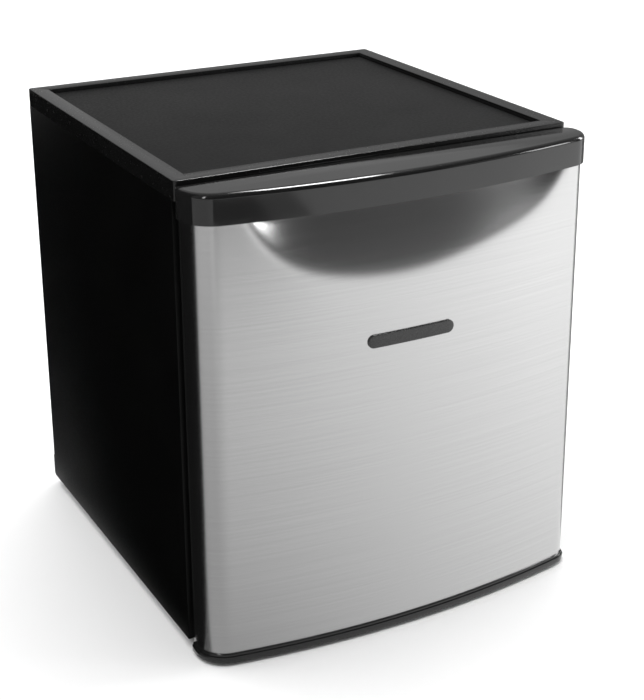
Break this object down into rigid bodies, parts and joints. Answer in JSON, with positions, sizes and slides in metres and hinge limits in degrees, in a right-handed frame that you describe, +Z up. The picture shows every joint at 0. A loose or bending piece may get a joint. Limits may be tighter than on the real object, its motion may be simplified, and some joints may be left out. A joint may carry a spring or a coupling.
{
  "type": "mini fridge",
  "caption": "Compact cube refrigerator with a bowed brushed-steel door on the right-hand hinge, a scooped handle, a framed worktop, wire shelves and a cooling circuit at the back.",
  "frame": {"origin": "on the floor, under the middle of the cabinet's width and of the whole depth; the door stands 7 mm past the cabinet at its hinge end, so the middle of the bounding box is 3.5 mm to the right of it", "axes": "+X to the right seen from the front, +Y to the back, +Z up"},
  "size_m": [0.457, 0.495, 0.512],
  "materials": {
    "black_gloss": "gloss",
    "black_textured": "matte",
    "black_paint": "satin",
    "zinc_sheet": "satin",
    "foam": "matte",
    "white_liner": "gloss",
    "evaporator": "satin",
    "white_plastic": "satin",
    "screws": "satin",
    "grey_pipe": "satin",
    "copper": "satin",
    "black_rubber": "matte",
    "cable": "matte",
    "hinge_steel": "satin",
    "chrome_wire": "polished",
    "brushed_steel": "brushed",
    "cap_plastic": "satin",
    "rail_plastic": "satin",
    "gasket": "matte",
    "magnet": "matte",
    "nylon": "matte",
    "badge": "satin"
  },
  "bodies": {
    "cabinet": {"worktop_frame": "black_gloss", "worktop_panel": "black_textured", "side_panel_left": "black_paint", "side_panel_right": "black_paint", "top_sheet": "black_paint", "bottom_front_rail": "black_paint", "bottom_panel": "black_paint", "back_panel": "black_paint", "compressor_niche_sheet": "zinc_sheet", "compressor_base": "black_paint", "foam_insulation": "foam", "inner_liner": "white_liner", "evaporator_plate": "evaporator", "evaporator_spacers": "white_plastic", "evaporator_screws": "screws", "drip_trough": "white_plastic", "drain_tube": "grey_pipe", "evaporation_tray": "black_textured", "thermostat_housing": "white_plastic", "thermostat_body": "zinc_sheet", "thermostat_capillary": "copper", "thermostat_lead": "cable", "condenser_tube": "copper", "compressor": "black_paint", "compressor_foot_plate": "black_paint", "compressor_grommets": "black_rubber", "compressor_bolts": "screws", "relay_cover": "black_textured", "filter_drier": "copper", "suction_tube": "copper", "discharge_tube": "copper", "expansion_capillary": "copper", "cord_gland": "black_rubber", "rear_feet": "black_textured", "top_hinge_bracket": "hinge_steel", "bottom_hinge_bracket": "hinge_steel", "hinge_pins": "screws", "hinge_screws": "screws", "back_panel_screws": "screws"},
    "door": {"door_panel": "brushed_steel", "door_top_cap": "cap_plastic", "door_bottom_trim": "cap_plastic", "door_foam": "foam", "door_liner": "white_liner", "door_bin_sides": "white_liner", "bin_rail_upper": "rail_plastic", "bin_rail_middle": "rail_plastic", "bottle_rail": "rail_plastic", "door_gasket": "gasket", "gasket_magnet": "magnet", "hinge_bushes": "nylon", "door_badge": "badge"},
    "thermostat_dial": {"thermostat_shaft": "zinc_sheet", "thermostat_knob": "white_plastic"},
    "shelf_full": {"wire_shelf_full": "chrome_wire"},
    "shelf_half": {"wire_shelf_half": "chrome_wire"},
    "foot_left": {"front_foot_left": "black_textured"},
    "foot_right": {"front_foot_right": "black_textured"}
  },
  "joints": [
    {"name": "door_swing", "type": "hinge", "parent": "cabinet", "child": "door", "pos_m": [0.216, -0.20741, 0], "axis": [0, 0, 1], "range_deg": [0, 115]},
    {"name": "thermostat_turn", "type": "hinge", "parent": "cabinet", "child": "thermostat_dial", "pos_m": [0.169, -0.02, 0.404], "axis": [0, 1, 0], "range_deg": [0, 300]},
    {"name": "full_shelf_slide", "type": "slide", "parent": "cabinet", "child": "shelf_full", "axis": [0, 1, 0], "range_m": [-0.03, 0]},
    {"name": "half_shelf_slide", "type": "slide", "parent": "cabinet", "child": "shelf_half", "axis": [0, 1, 0], "range_m": [-0.11, 0]},
    {"name": "left_foot_height", "type": "slide", "parent": "cabinet", "child": "foot_left", "axis": [0, 0, 1], "range_m": [-0.008, 0]},
    {"name": "right_foot_height", "type": "slide", "parent": "cabinet", "child": "foot_right", "axis": [0, 0, 1], "range_m": [-0.008, 0]}
  ]
}
